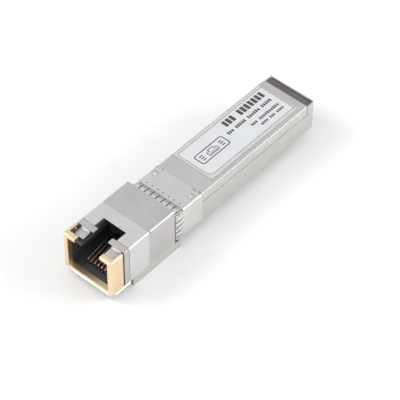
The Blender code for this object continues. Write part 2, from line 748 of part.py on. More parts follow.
def make_socket_inside():
    """Contact carrier and contacts behind the cavity, and the foam ring between socket and body."""
    low, high = across(4.8, (CAVITY_END + 1.1, CAVITY_END + 1.9), (CAVITY_FLOOR, 8.2))
    carrier = block("contact_carrier", low, high, "black_plastic", 0.15)
    cut_box(carrier, "carrier_relief", *across(4.2, (CAVITY_END + 1.5, CAVITY_END + 2.6), (6.2, 7.6)))
    ring_y = (SOCKET_LENGTH + 0.07, BODY_FRONT - 0.08)
    low, high = across(6.3, ring_y, (FRONT_FLOOR_TOP + 0.08, BODY_TOP - 0.25))
    gasket = block("emi_gasket", low, high, "foam_grey")
    cut_box(gasket, "gasket_window", *across(5.45, (20.0, 22.0), (4.4, 10.3)))
    for index in range(8):
        make_contact(index)


def make_board():
    """Circuit board with its narrow plug tongue, and the gold rows on both faces of the tongue."""
    chamfer = 0.4
    outline = [
        (-PCB_NECK_HALF, PCB_FRONT),
        (PCB_NECK_HALF, PCB_FRONT),
        (PCB_NECK_HALF, 20.6),
        (PCB_HALF, 22.6),
        (PCB_HALF, TONGUE_START),
        (TONGUE_HALF, TONGUE_START + 0.7),
        (TONGUE_HALF, PCB_END - chamfer),
        (TONGUE_HALF - chamfer, PCB_END),
    ]
    outline += [(-x, y) for x, y in reversed(outline[2:])]
    holes = [circle(0.0, screw_y, SCREW_R + 0.12) for screw_y in SCREW_Y.values()]
    flat_plate("main_pcb", [outline] + holes, PCB_BOTTOM, PCB_TOP, "board_green")
    plating = 0.15
    rows = {
        "edge_contacts_top": (PCB_TOP + SEAT_GAP, PCB_TOP + plating),
        "edge_contacts_bottom": (PCB_BOTTOM - plating, PCB_BOTTOM - SEAT_GAP),
    }
    for name, (low_z, high_z) in rows.items():
        flat_plate(name, [comb_outline()], low_z, high_z, "gold")


def comb_outline():
    """Ten contact fingers joined by their plating bar."""
    bar_front, bar_back = PLATING_BAR
    first = -4.5 * EDGE_PITCH - EDGE_FINGER / 2
    outline = [(-first, bar_front), (first, bar_front)]
    for finger in range(10):
        left = first + finger * EDGE_PITCH
        right = left + EDGE_FINGER
        if finger > 0:
            outline.append((left, bar_back))
        outline += [(left, EDGE_TIP), (right, EDGE_TIP)]
        if finger < 9:
            outline.append((right, bar_back))
    return outline


def make_electronics():
    """Chips, passives and the heat pad on the board, and the insulating film below it."""
    on_board = PCB_TOP + SEAT_GAP
    chips = {
        "phy_chip": ((-4.25, 39.75, on_board), (4.25, 48.25, 7.0), "chip_black", 0.12),
        "thermal_pad": ((-4.0, 40.1, 7.05), (4.0, 47.9, PEDESTAL_BOTTOM - SEAT_GAP), "thermal_pink", 0.15),
        "magnetics_module": ((-5.1, 22.8, on_board), (5.1, 29.0, 9.7), "chip_black", 0.25),
        "microcontroller": ((-4.6, 34.4, on_board), (-0.6, 38.4, 6.65), "chip_black", 0.1),
        "crystal_can": ((1.2, 35.2, on_board), (3.7, 37.2, 6.5), "cover_nickel", 0.15),
        "power_converter": ((-1.3, 49.4, on_board), (1.3, 52.0, 6.7), "chip_black", 0.1),
        "eeprom_chip": ((-1.5, 36.0, 4.0), (1.5, 38.0, PCB_BOTTOM - SEAT_GAP), "chip_black", 0.08),
        "pcb_insulator": ((-5.2, 40.0, 3.4), (5.2, 54.0, 3.55), "film_amber", 0.0),
    }
    for name, (low, high, finish, edge) in chips.items():
        block(name, low, high, finish, edge)
    for side, name in ((-1, "left"), (1, "right")):
        low_x, high_x = sorted((side * 1.9, side * 4.9))
        low, high = (low_x, 49.2, on_board), (high_x, 52.2, 7.7)
        block(f"power_inductor_{name}", low, high, "ferrite_grey", 0.3)
        low_x, high_x = sorted((side * 1.8, side * 5.0))
        low, high = (low_x, 53.2, on_board), (high_x, 54.8, 7.4)
        block(f"bulk_capacitor_{name}", low, high, "ceramic_tan", 0.12)


def make_screw(end):
    """Flat-headed screw: its head is in the shell's underside and its shank is in the cover's post."""
    profile = [
        (0.0, SCREW_TIP),
        (SCREW_R - 0.25, SCREW_TIP),
        (SCREW_R, SCREW_TIP - 0.3),
        (SCREW_R, SCREW_HEAD_TOP),
        (SCREW_HEAD_R - 0.05, SCREW_HEAD_TOP),
        (SCREW_HEAD_R, SCREW_HEAD_LOW + 0.2),
        (SCREW_HEAD_R - 0.2, SCREW_HEAD_LOW),
        (0.0, SCREW_HEAD_LOW),
    ]
    turned(f"cover_screw_{end}", profile, (0.0, SCREW_Y[end], 0.0), "bail_steel")


def make_bail():
    """Wire handle: a bar under the socket's front, two arms, and pivot pins that point inward."""
    pivot_end = CHEEK_X + CHEEK_HALF + 0.07
    half_outline = [
        (pivot_end, PIVOT_Y),
        (BAIL_ARM_X, PIVOT_Y),
        (BAIL_ARM_X, BAIL_FRONT_Y),
        (0.0, BAIL_FRONT_Y),
    ]
    right = rounded(half_outline[:3], PIVOT_CORNER, 4)[:-1]
    right += rounded(half_outline[1:], BAIL_CORNER, 5)[1:-1]
    left = [(-point[0], point[1]) for point in reversed(right)]
    points = [(point[0], point[1], PIVOT_Z) for point in right + left]
    bail = wire("bail", points, BAIL_WIRE_R, "bail_steel", 3)
    hang_on_pivot(bail)
    return bail


def hang_on_pivot(part):
    """Move a part's origin onto the bail's pivot axis, leaving the part where it is."""
    pivot = place(0, PIVOT_Y, PIVOT_Z)
    part.data.transform(Matrix.Translation(part.location - pivot))
    part.location = pivot


def crank_pin_place():
    """Middle of the crank pin at rest, as (y, z)."""
    return (PIVOT_Y + CRANK_R * math.cos(CRANK_START), PIVOT_Z + CRANK_R * math.sin(CRANK_START))


def make_crank():
    """Two cheeks on the pivot axis and the pin between them that drives the slider."""
    pin_y, pin_z = crank_pin_place()
    half = CHEEK_X + CHEEK_HALF
    core = across(half, (pin_y - 0.2, pin_y + 0.2), (pin_z - 0.2, pin_z + 0.2))
    crank = block("bail_crank", *core, "bail_steel")
    join_rod(crank, "crank_pin", (0, pin_y, pin_z), CRANK_PIN_R, 2 * half, "X", 20)
    across_y = 0.32 * math.sin(CRANK_START)
    across_z = -0.32 * math.cos(CRANK_START)
    outline = [
        (PIVOT_Y + across_y, PIVOT_Z + across_z),
        (PIVOT_Y - across_y, PIVOT_Z - across_z),
        (pin_y - across_y, pin_z - across_z),
        (pin_y + across_y, pin_z + across_z),
    ]
    for side in (-1, 1):
        middle = side * CHEEK_X
        join_rod(crank, f"cheek_hub_{side}", (middle, PIVOT_Y, PIVOT_Z), 0.42, 2 * CHEEK_HALF, "X", 20)
        join_prism(crank, f"cheek_{side}", outline, middle - CHEEK_HALF, middle + CHEEK_HALF)
    return crank


def make_slider():
    """Slider: a thin front with a slot for the crank pin, a thick middle and two tines with sloping tips."""
    pin_y = crank_pin_place()[0]
    thick_front, thin_top = 9.0, 0.9
    low, high = across(SLIDER_HALF, (thick_front, SLIDER_END), (SLIDER_BOTTOM, SLIDER_TOP))
    slider = block("release_slider", low, high, "spring_steel")
    front = across(SLIDER_HALF, (CHANNEL_FRONT + 0.3, thick_front + 0.2), (SLIDER_BOTTOM, thin_top))
    join_box(slider, "slider_front", *front)
    slot = across(CHEEK_X + CHEEK_HALF + 0.2, (pin_y - 0.5, pin_y + 0.5), (0.0, 2.0))
    cut_box(slider, "pin_slot", *slot)
    cut_box(slider, "spring_window", *across(0.95, (COIL_FRONT - 0.2, 16.9), (0.0, 2.5)))
    outline = [
        (20.8, 1.0),
        (23.3, 1.0),
        (23.3, 2.45),
        (24.2, 2.45),
        (24.7, 2.95),
        (22.7, 2.95),
        (22.7, 1.85),
        (20.8, 1.85),
    ]
    for side in (-1, 1):
        low_x, high_x = sorted((side * 1.65, side * SLIDER_HALF))
        join_prism(slider, f"tine_{side}", outline, low_x, high_x)
    return slider


def make_slider_spring():
    """Compression coil between the slider's front wall and the peg in the channel."""
    sides = 12
    points = []
    for step in range(COIL_TURNS * sides + 1):
        turn = 2 * math.pi * step / sides
        along = COIL_FRONT + (COIL_END - COIL_FRONT) * step / (COIL_TURNS * sides)
        points.append((COIL_R * math.cos(turn), along, COIL_Z + COIL_R * math.sin(turn)))
    return wire("slider_spring", points, COIL_WIRE_R, "bail_steel", 1)


def make_latch_plate():
    """Plate that closes the slider's channel from below, and the two rivets that hold it."""
    low, high = across(PLATE_HALF, (PLATE_FRONT, PLATE_END), (0.02, PLATE_TOP))
    plate = block("latch_plate", low, high, "cover_nickel")
    for side, name in ((-1, "left"), (1, "right")):
        centre = (side * RIVET_X, RIVET_Y, 0.0)
        cut_rod(plate, f"plate_hole_{name}", centre, 0.42, 1.0, "Z", 16)
        profile = [(0.0, 1.3), (0.3, 1.3), (0.3, 0.2), (0.37, 0.2), (0.37, 0.05), (0.0, 0.05)]
        turned(f"plate_rivet_{name}", profile, centre, "bail_steel", 16)
    return plate


make_base_shell()
make_top_cover()
make_emi_collar()
make_label()
make_shield_front()
make_shield_rear()
make_ground_spring(-1, "ground_spring_left")
make_ground_spring(1, "ground_spring_right")
make_front_bezel()
make_jack_housing()
make_socket_inside()
make_board()
make_electronics()
for screw_end in SCREW_Y:
    make_screw(screw_end)
make_bail()
hang_on_pivot(make_crank())
make_slider()
make_slider_spring()
make_latch_plate()
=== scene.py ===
"""Looks of a copper network transceiver module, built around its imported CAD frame."""

import json
import math

import bmesh
import bpy
from mathutils import Matrix, Vector


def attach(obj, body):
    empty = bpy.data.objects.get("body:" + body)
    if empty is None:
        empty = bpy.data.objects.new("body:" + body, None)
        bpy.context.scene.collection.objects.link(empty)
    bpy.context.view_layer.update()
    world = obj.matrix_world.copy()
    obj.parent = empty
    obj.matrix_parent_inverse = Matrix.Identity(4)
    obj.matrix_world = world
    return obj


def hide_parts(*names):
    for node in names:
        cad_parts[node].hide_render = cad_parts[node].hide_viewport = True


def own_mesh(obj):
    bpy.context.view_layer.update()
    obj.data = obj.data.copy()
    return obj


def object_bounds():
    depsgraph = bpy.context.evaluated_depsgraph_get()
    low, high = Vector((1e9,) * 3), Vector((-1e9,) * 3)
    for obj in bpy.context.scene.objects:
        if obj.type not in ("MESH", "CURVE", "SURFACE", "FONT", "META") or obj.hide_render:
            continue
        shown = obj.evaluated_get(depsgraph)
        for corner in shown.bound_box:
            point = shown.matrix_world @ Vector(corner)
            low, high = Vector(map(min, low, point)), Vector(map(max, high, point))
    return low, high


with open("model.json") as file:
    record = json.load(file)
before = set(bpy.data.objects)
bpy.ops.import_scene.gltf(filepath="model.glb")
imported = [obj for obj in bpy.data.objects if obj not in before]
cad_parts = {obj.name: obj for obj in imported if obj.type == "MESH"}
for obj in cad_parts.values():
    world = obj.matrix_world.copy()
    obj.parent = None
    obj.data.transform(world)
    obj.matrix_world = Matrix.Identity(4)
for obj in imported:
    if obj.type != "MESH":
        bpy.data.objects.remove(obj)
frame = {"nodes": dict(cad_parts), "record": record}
CAD_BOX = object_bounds()
NODES = frame["nodes"]
MM = 0.001
HALF_LENGTH = 35.0
scene = bpy.context.scene


# ---------------------------------------------------------------- materials


class Shader:
    """A material's node tree with short calls for the nodes that the finishes share."""

    def __init__(self, name, colour, roughness, metallic=0.0):
        self.material = bpy.data.materials.new(name)
        self.material.use_nodes = True
        self.tree = self.material.node_tree
        self.surface = self.tree.nodes["Principled BSDF"]
        self.colour = colour
        self.set("Base Color", (*colour, 1.0))
        self.set("Roughness", roughness)
        self.set("Metallic", metallic)
        self.where = self.add("ShaderNodeTexCoord").outputs["Object"]

    def add(self, kind, **settings):
        node = self.tree.nodes.new(kind)
        for key, value in settings.items():
            setattr(node, key, value)
        return node

    def link(self, source, target):
        self.tree.links.new(source, target)

    def set(self, socket, value):
        self.surface.inputs[socket].default_value = value

    def stretched(self, scale):
        """Object coordinates in millimetres times a scale along each axis."""
        mapping = self.add("ShaderNodeMapping")
        mapping.inputs["Scale"].default_value = [s / MM for s in scale]
        self.link(self.where, mapping.inputs["Vector"])
        return mapping.outputs["Vector"]

    def noise(self, scale, detail=4.0, rough=0.55):
        texture = self.add("ShaderNodeTexNoise")
        self.link(self.stretched(scale), texture.inputs["Vector"])
        texture.inputs["Scale"].default_value = 1.0
        texture.inputs["Detail"].default_value = detail
        texture.inputs["Roughness"].default_value = rough
        return texture.outputs["Fac"]

    def spread(self, source, low, high, to_low=0.0, to_high=1.0):
        """The source's range from low to high, taken to another range."""
        spread = self.add("ShaderNodeMapRange")
        spread.inputs["From Min"].default_value = low
        spread.inputs["From Max"].default_value = high
        spread.inputs["To Min"].default_value = to_low
        spread.inputs["To Max"].default_value = to_high
        self.link(source, spread.inputs["Value"])
        return spread.outputs["Result"]

    def math(self, operation, first, second):
        node = self.add("ShaderNodeMath", operation=operation)
        for socket, value in zip(node.inputs, (first, second)):
            if isinstance(value, (int, float)):
                socket.default_value = value
            else:
                self.link(value, socket)
        return node.outputs["Value"]

    def mix(self, amount, first, second):
        node = self.add("ShaderNodeMix", data_type="RGBA")
        sockets = (node.inputs[0], node.inputs[6], node.inputs[7])
        for socket, value in zip(sockets, (amount, first, second)):
            if isinstance(value, tuple):
                socket.default_value = (*value, 1.0)
            elif isinstance(value, (int, float)):
                socket.default_value = value
            else:
                self.link(value, socket)
        return node.outputs[2]

    def paint(self, socket, source):
        self.link(source, self.surface.inputs[socket])

    def bump(self, height, distance, strength=1.0):
        bump = self.add("ShaderNodeBump")
        bump.inputs["Distance"].default_value = distance * MM
        bump.inputs["Strength"].default_value = strength
        self.link(height, bump.inputs["Height"])
        self.link(bump.outputs["Normal"], self.surface.inputs["Normal"])


def shade(colour, factor):
    return tuple(min(1.0, channel * factor) for channel in colour)


def plated_metal(name, colour, roughness, grain=(9.0, 0.6, 9.0), marking=1.0):
    """Plated sheet or wire: drawn grain, cloudy tone, faint scratches and handling marks."""
    s = Shader(name, colour, roughness, 1.0)
    clouds = s.noise((0.22, 0.16, 0.22), 3.0)
    lines = s.noise(grain, 3.0, 0.6)
    marks = s.noise((0.9, 0.5, 0.9), 5.0, 0.7)
    cloud = 0.05 * marking
    tone = s.mix(s.spread(clouds, 0.3, 0.7), shade(colour, 1 - cloud), shade(colour, 1 + cloud))
    tone = s.mix(s.spread(lines, 0.35, 0.65, 0.0, 0.3 * marking), tone, shade(colour, 0.86))
    s.paint("Base Color", tone)
    low, high = roughness - 0.04 * marking, roughness + 0.06 * marking
    rough = s.spread(marks, 0.3, 0.7, low, high)
    scored = s.noise((14.0, 0.25, 14.0), 2.0, 0.4)
    scored = s.spread(scored, 0.66, 0.72, 0.0, 0.07 * marking)
    s.paint("Roughness", s.math("ADD", rough, scored))
    s.bump(s.math("ADD", lines, s.math("MULTIPLY", marks, 0.5)), 0.0014 * marking)
    return s.material


def cast_metal(name, colour, roughness):
    """Plated die casting: fine orange peel and a slightly blotchy plating."""
    s = Shader(name, colour, roughness, 1.0)
    blotch = s.noise((0.35, 0.35, 0.35), 4.0)
    peel = s.noise((5.0, 5.0, 5.0), 5.0, 0.65)
    s.paint("Base Color", s.mix(s.spread(blotch, 0.3, 0.7), shade(colour, 0.96), shade(colour, 1.03)))
    s.paint("Roughness", s.spread(peel, 0.3, 0.7, roughness - 0.04, roughness + 0.07))
    s.bump(peel, 0.004)
    return s.material


def gold_plating(name, colour, roughness):
    s = Shader(name, colour, roughness, 1.0)
    cloud = s.noise((0.8, 0.8, 0.8), 4.0)
    fine = s.noise((12.0, 12.0, 12.0), 4.0)
    s.paint("Base Color", s.mix(s.spread(cloud, 0.3, 0.7), shade(colour, 0.96), shade(colour, 1.02)))
    s.paint("Roughness", s.spread(fine, 0.3, 0.7, roughness - 0.04, roughness + 0.05))
    s.bump(fine, 0.0015)
    return s.material


def moulded(name, colour, roughness, grain=7.0, height=0.004):
    """Moulded plastic or epoxy with a fine spark-eroded surface."""
    s = Shader(name, colour, roughness)
    grit = s.noise((grain,) * 3, 4.0, 0.6)
    cloud = s.noise((0.5, 0.5, 0.5), 3.0)
    s.paint("Base Color", s.mix(s.spread(cloud, 0.3, 0.7), shade(colour, 0.85), shade(colour, 1.18)))
    s.paint("Roughness", s.spread(grit, 0.3, 0.7, roughness - 0.08, roughness + 0.1))
    s.bump(grit, height)
    return s.material


def label_film(name, colour, roughness):
    """Matte printed film: a hint of fibre and a slightly uneven gloss."""
    s = Shader(name, colour, roughness)
    fibre = s.noise((6.0, 6.0, 6.0), 5.0, 0.6)
    cloud = s.noise((0.3, 0.3, 0.3), 2.0)
    s.paint("Base Color", s.mix(s.spread(cloud, 0.3, 0.7), shade(colour, 0.975), shade(colour, 1.015)))
    s.paint("Roughness", s.spread(fibre, 0.3, 0.7, roughness - 0.05, roughness + 0.05))
    s.bump(fibre, 0.0015)
    s.set("Coat Weight", 0.15)
    s.set("Coat Roughness", 0.3)
    return s.material


def solder_mask(name, colour, roughness):
    """Green solder mask over copper traces that show as a faint relief."""
    s = Shader(name, colour, roughness)
    tracks = s.add("ShaderNodeTexBrick", offset=0.37, squash=1.0)
    s.link(s.stretched((1.4, 1.4, 1.4)), tracks.inputs["Vector"])
    tracks.inputs["Scale"].default_value = 1.0
    tracks.inputs["Mortar Size"].default_value = 0.08
    tracks.inputs["Brick Width"].default_value = 1.7
    tracks.inputs["Row Height"].default_value = 0.5
    grit = s.noise((8.0, 8.0, 8.0), 3.0)
    s.paint("Base Color", s.mix(tracks.outputs["Fac"], colour, shade(colour, 1.9)))
    s.paint("Roughness", s.spread(grit, 0.3, 0.7, roughness - 0.06, roughness + 0.08))
    s.bump(tracks.outputs["Fac"], 0.01)
    return s.material


def ink(name, colour):
    """Flat colour with slight unevenness: printed ink, and the painted shadow ring at the label's white
    edge.
    """
    s = Shader(name, colour, 0.55)
    speckle = s.noise((10.0, 10.0, 10.0), 4.0)
    s.paint("Base Color", s.mix(s.spread(speckle, 0.35, 0.7), colour, shade(colour, 1.6)))
    s.paint("Roughness", s.spread(speckle, 0.3, 0.7, 0.45, 0.65))
    return s.material


FINISHES = {
    "cast_nickel": cast_metal("cast_nickel_look", (0.64, 0.63, 0.605), 0.42),
    "cover_nickel": plated_metal("cover_nickel_look", (0.67, 0.657, 0.64), 0.44),
    "collar_nickel": plated_metal("collar_nickel_look", (0.75, 0.745, 0.73), 0.32, (0.8, 9.0, 9.0)),
    "shield_light": plated_metal("shield_light_look", (0.74, 0.74, 0.73), 0.42),
    "shield_dark": plated_metal("shield_dark_look", (0.62, 0.605, 0.595), 0.44),
    "spring_steel": plated_metal("spring_steel_look", (0.575, 0.565, 0.56), 0.6),
    "gold": gold_plating("gold_look", (0.92, 0.75, 0.50), 0.38),
    "bail_steel": plated_metal("bail_steel_look", (0.70, 0.69, 0.67), 0.27, (0.7, 0.7, 0.7), 0.3),
    "black_plastic": moulded("black_plastic_look", (0.05, 0.051, 0.053), 0.42),
    "label_film": label_film("label_film_look", (0.52, 0.52, 0.515), 0.35),
    "board_green": solder_mask("board_green_look", (0.015, 0.12, 0.05), 0.36),
    "chip_black": moulded("chip_black_look", (0.02, 0.02, 0.021), 0.55, 9.0),
    "ceramic_tan": moulded("ceramic_tan_look", (0.36, 0.25, 0.15), 0.45, 12.0, 0.002),
    "ferrite_grey": moulded("ferrite_grey_look", (0.10, 0.10, 0.105), 0.6, 10.0),
    "thermal_pink": moulded("thermal_pink_look", (0.5, 0.34, 0.38), 0.8, 3.0, 0.01),
    "foam_grey": moulded("foam_grey_look", (0.105, 0.095, 0.10), 0.8, 4.0, 0.02),
    "film_amber": moulded("film_amber_look", (0.45, 0.19, 0.03), 0.3, 2.0, 0.002),
}
# Contact wire gold: reddish like the plating, and darkened far below it as painted shade of the socket's
# inside.
SHADED_CONTACT_GOLD = gold_plating("contact_gold_painted_shade_look", (0.60, 0.39, 0.24), 0.34)
INK = ink("label_ink_look", (0.045, 0.047, 0.05))
# Grey for the chips' first-pin marks, and painted shadow for the ring along the white label area's edge.
PIN_MARK_AND_EDGE_SHADOW_GREY = ink("pin_mark_and_label_edge_shadow_look", (0.09, 0.09, 0.095))
PRINT_WHITE = label_film("label_white_look", (0.60, 0.614, 0.63), 0.5)

SLOT_OF = {part["node"]: part["material_slot"] for part in frame["record"]["subparts"]}


def finish(piece, slot_name):
    piece.data.materials.clear()
    piece.data.materials.append(FINISHES[slot_name])


def round_edges(piece, width, segments=2, angle=30.0):
    """Small rounded edges that catch the light, with the flat faces kept flat to the eye."""
    bevel = piece.modifiers.new("round_edges", "BEVEL")
    bevel.width = width * MM
    bevel.segments = segments
    bevel.limit_method = "ANGLE"
    bevel.angle_limit = math.radians(angle)
    bevel.use_clamp_overlap = True
    normals = piece.modifiers.new("face_normals", "WEIGHTED_NORMAL")
    normals.keep_sharp = False
    normals.weight = 100


def clean_frame_part(piece, width):
    """Clears a frame part's triangle edges from its flat faces, then rounds its edges."""
    weld = piece.modifiers.new("weld", "WELD")
    weld.merge_threshold = 0.002 * MM
    flat = piece.modifiers.new("flat_faces", "DECIMATE")
    flat.decimate_type = "DISSOLVE"
    flat.angle_limit = math.radians(1.0)
    piece.data.shade_smooth()
    round_edges(piece, width)


EDGE_WIDTH = {
    "base_shell": 0.08,
    "top_cover": 0.06,
    "shield_front": 0.03,
    "shield_rear": 0.03,
    "front_bezel": 0.08,
    "jack_housing": 0.05,
    "release_slider": 0.06,
    "latch_plate": 0.03,
    "bail_crank": 0.04,
    "main_pcb": 0.03,
    "contact_carrier": 0.04,
    "emi_gasket": 0.04,
    "phy_chip": 0.03,
    "thermal_pad": 0.05,
    "magnetics_module": 0.06,
    "microcontroller": 0.03,
    "crystal_can": 0.05,
    "power_converter": 0.03,
    "eeprom_chip": 0.03,
    "power_inductor_left": 0.08,
    "power_inductor_right": 0.08,
    "bulk_capacitor_left": 0.04,
    "bulk_capacitor_right": 0.04,
}
for node, cad in NODES.items():
    finish(cad, SLOT_OF[node])
    if node in EDGE_WIDTH:
        clean_frame_part(cad, EDGE_WIDTH[node])


# ------------------------------------------------------------ shape helpers


def at(x, y, z):
    """The row frame's place for design millimetres: across, back from the socket's front, up."""
    return Vector((x, y - HALF_LENGTH, z)) * MM


def filleted(points, radius, steps=6):
    """An open path with its corners rounded, by one radius or by one for each corner."""
    points = [Vector(point) for point in points]
    radii = radius if isinstance(radius, list) else [radius] * (len(points) - 2)
    path = [points[0]]
    for before, corner, after, corner_radius in zip(points, points[1:], points[2:], radii):
        back, ahead = before - corner, after - corner
        reach = corner_radius / math.tan(max(back.angle(ahead) / 2, 0.05))
        reach = min(reach, back.length * 0.48, ahead.length * 0.48)
        start = corner + back.normalized() * reach
        end = corner + ahead.normalized() * reach
        for step in range(steps + 1):
            share = step / steps
            path.append(start.lerp(corner, share).lerp(corner.lerp(end, share), share))
    path.append(points[-1])
    return path


def rounded_box(low_x, high_x, low_y, high_y, radius, steps=6):
    """Closed outline of a rectangle with rounded corners."""
    outline = []
    centres = (
        (high_x - radius, high_y - radius, 0),
        (low_x + radius, high_y - radius, 90),
        (low_x + radius, low_y + radius, 180),
        (high_x - radius, low_y + radius, 270),
    )
    for centre_x, centre_y, start in centres:
        for step in range(steps + 1):
            turn = math.radians(start + 90 * step / steps)
            outline.append((centre_x + radius * math.cos(turn), centre_y + radius * math.sin(turn)))
    return outline


def ring_outline(centre_x, centre_y, radius, sides=24):
    turns = [2 * math.pi * side / sides for side in range(sides)]
    return [(centre_x + radius * math.cos(turn), centre_y + radius * math.sin(turn)) for turn in turns]


def add_slab(bm, loops, low, high, place=at, cuts_u=(), cuts_v=()):
    """Plate between two levels, from an outline and its holes, bent by place(u, v, level)."""
    plate = bmesh.new()
    edges = []
    for loop in loops:
        ring = [plate.verts.new((u, v, low)) for u, v in loop]
        edges += [plate.edges.new(pair) for pair in zip(ring, ring[1:] + ring[:1])]
    filled = bmesh.ops.triangle_fill(plate, use_beauty=True, use_dissolve=False, edges=edges)
    faces = [item for item in filled["geom"] if isinstance(item, bmesh.types.BMFace)]
    raised = bmesh.ops.extrude_face_region(plate, geom=faces)["geom"]
    moved = [item for item in raised if isinstance(item, bmesh.types.BMVert)]
    bmesh.ops.translate(plate, verts=moved, vec=(0.0, 0.0, high - low))
    for values, normal in ((cuts_u, (1, 0, 0)), (cuts_v, (0, 1, 0))):
        for value in values:
            every = plate.verts[:] + plate.edges[:] + plate.faces[:]
            point = Vector(normal) * value
            bmesh.ops.bisect_plane(plate, geom=every, dist=0.0005, plane_co=point, plane_no=normal)
    known = {vert: bm.verts.new(place(*vert.co)) for vert in plate.verts}
    for face in plate.faces:
        bm.faces.new([known[vert] for vert in face.verts])
    plate.free()


def add_box(bm, low, high):
    outline = [(low[0], low[1]), (high[0], low[1]), (high[0], high[1]), (low[0], high[1])]
    add_slab(bm, [outline], low[2], high[2])


def add_tube(bm, path, radius, sides=16):
    """Round wire along a path of design points, with softened ends."""
    path = [Vector(point) for point in path]
    first, last = (path[0] - path[1]).normalized(), (path[-1] - path[-2]).normalized()
    stations = [(path[0] + first * radius * 0.35, radius * 0.6), (path[0], radius)]
    stations += [(point, radius) for point in path[1:-1]]
    stations += [(path[-1], radius), (path[-1] + last * radius * 0.35, radius * 0.6)]
    rings, normal = [], first.orthogonal().normalized()
    for index, (point, reach) in enumerate(stations):
        ahead = stations[min(index + 1, len(stations) - 1)][0] - stations[max(index - 1, 0)][0]
        ahead.normalize()
        normal = (normal - ahead * normal.dot(ahead)).normalized()
        side = ahead.cross(normal)
        turns = [2 * math.pi * step / sides for step in range(sides)]
        ring = [point + (normal * math.cos(turn) + side * math.sin(turn)) * reach for turn in turns]
        rings.append([bm.verts.new(at(*place)) for place in ring])
    for ring, following in zip(rings, rings[1:]):
        for step in range(sides):
            later = (step + 1) % sides
            bm.faces.new((ring[step], ring[later], following[later], following[step]))
    bm.faces.new(rings[0])
    bm.faces.new(rings[-1])


def add_turned(bm, profile, centre, sides=32):
    """Solid of revolution about a vertical axis; profile is (radius, height) pairs from axis to axis."""
    rings = []
    for radius, height in profile:
        if radius < 1e-6:
            rings.append([bm.verts.new(at(centre[0], centre[1], centre[2] + height))])
            continue
        outline = ring_outline(centre[0], centre[1], radius, sides)
        rings.append([bm.verts.new(at(u, v, centre[2] + height)) for u, v in outline])
    for ring, following in zip(rings, rings[1:]):
        for side in range(sides):
            later = (side + 1) % sides
            corners = [ring[side % len(ring)], ring[later % len(ring)]]
            corners += [following[later % len(following)], following[side % len(following)]]
            unique = [vert for index, vert in enumerate(corners) if vert not in corners[:index]]
            bm.faces.new(unique)


class Rail:
    """An open 2-D path that a flat sheet is bent along."""

    def __init__(self, points):
        self.points = [Vector(point) for point in points]
        self.stops = [0.0]
        for point, following in zip(self.points, self.points[1:]):
            self.stops.append(self.stops[-1] + (following - point).length)
        self.length = self.stops[-1]
        ways = [(b - a).normalized() for a, b in zip(self.points, self.points[1:])]
        joined = [ways[0]] + [(a + b).normalized() for a, b in zip(ways, ways[1:])] + [ways[-1]]
        self.normals = [Vector((-way.y, way.x)) for way in joined]

    def place(self, distance, lift):
        """Point at a distance along the path, lifted to the path's left."""
        last = len(self.stops) - 2
        index = max(i for i in range(last + 1) if i == 0 or self.stops[i] <= distance)
        share = (distance - self.stops[index]) / (self.stops[index + 1] - self.stops[index])
        point = self.points[index].lerp(self.points[index + 1], share)
        normal = self.normals[index].lerp(self.normals[index + 1], min(max(share, 0.0), 1.0))
        return point + normal.normalized() * lift


def make_piece(bm, name, slot_name, body="module", stands_for=(), sharp=35.0, material=None):
    """New piece that rides a body, smooth except at sharp edges, and may stand for frame parts."""
    bmesh.ops.remove_doubles(bm, verts=bm.verts[:], dist=0.0002 * MM)
    bmesh.ops.recalc_face_normals(bm, faces=bm.faces[:])
    mesh = bpy.data.meshes.new(name)
    bm.to_mesh(mesh)
    bm.free()
    mesh.shade_smooth()
    mesh.set_sharp_from_angle(angle=math.radians(sharp))
    piece = bpy.data.objects.new(name, mesh)
    scene.collection.objects.link(piece)
    finish(piece, slot_name)
    if material:
        mesh.materials[0] = material
    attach(piece, body)
    if stands_for:
        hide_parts(*stands_for)
    return piece


# ------------------------------------------------------------ spring collar

COLLAR_HALF, COLLAR_LOW, COLLAR_HIGH, COLLAR_FOLD = 6.8, 2.4, 11.1, 0.3
COLLAR_SHEET = 0.2
COLLAR_LIP_X, COLLAR_LIP_FRONT = 4.0, 22.65
COLLAR_FRONT, COLLAR_END = 21.4, 30.45
BOW_FRONT, FINGER_END, FINGER_BOW = 21.15, 24.1, 0.27
FINGER_PITCH, LOWEST_SIDE_SLOT = 1.65, 3.61
SLOT_WIDTH, SLOT_END, SLOT_ROUNDING = 0.32, 24.0, 0.25
TOP_CORNER_GAP, LOW_CORNER_GAP = 1.0, 1.15
DOT_Y, DOT_RADIUS = 24.95, 0.2
WINDOW_X, WINDOW_HALF, WINDOW_FRONT, WINDOW_END = 5.4, 0.6, 27.55, 29.05
FOLD_CUTS = (-0.8, -0.5, -0.25, 0.0, 0.25, 0.5, 0.8)


def collar_slot_end(left, right):
    """Rounded rear end of a slot, from its left edge to its right edge."""
    width = right - left
    rounding = min(width / 2, SLOT_ROUNDING)
    level = SLOT_END - rounding
    points = []
    for step in range(7):
        turn = math.radians(180 - 90 * step / 6)
        points.append((left + rounding + rounding * math.cos(turn), level + rounding * math.sin(turn)))
    for step in range(0 if width > 2 * SLOT_ROUNDING else 1, 7):
        turn = math.radians(90 - 90 * step / 6)
        points.append((right - rounding + rounding * math.cos(turn), level + rounding * math.sin(turn)))
    return points


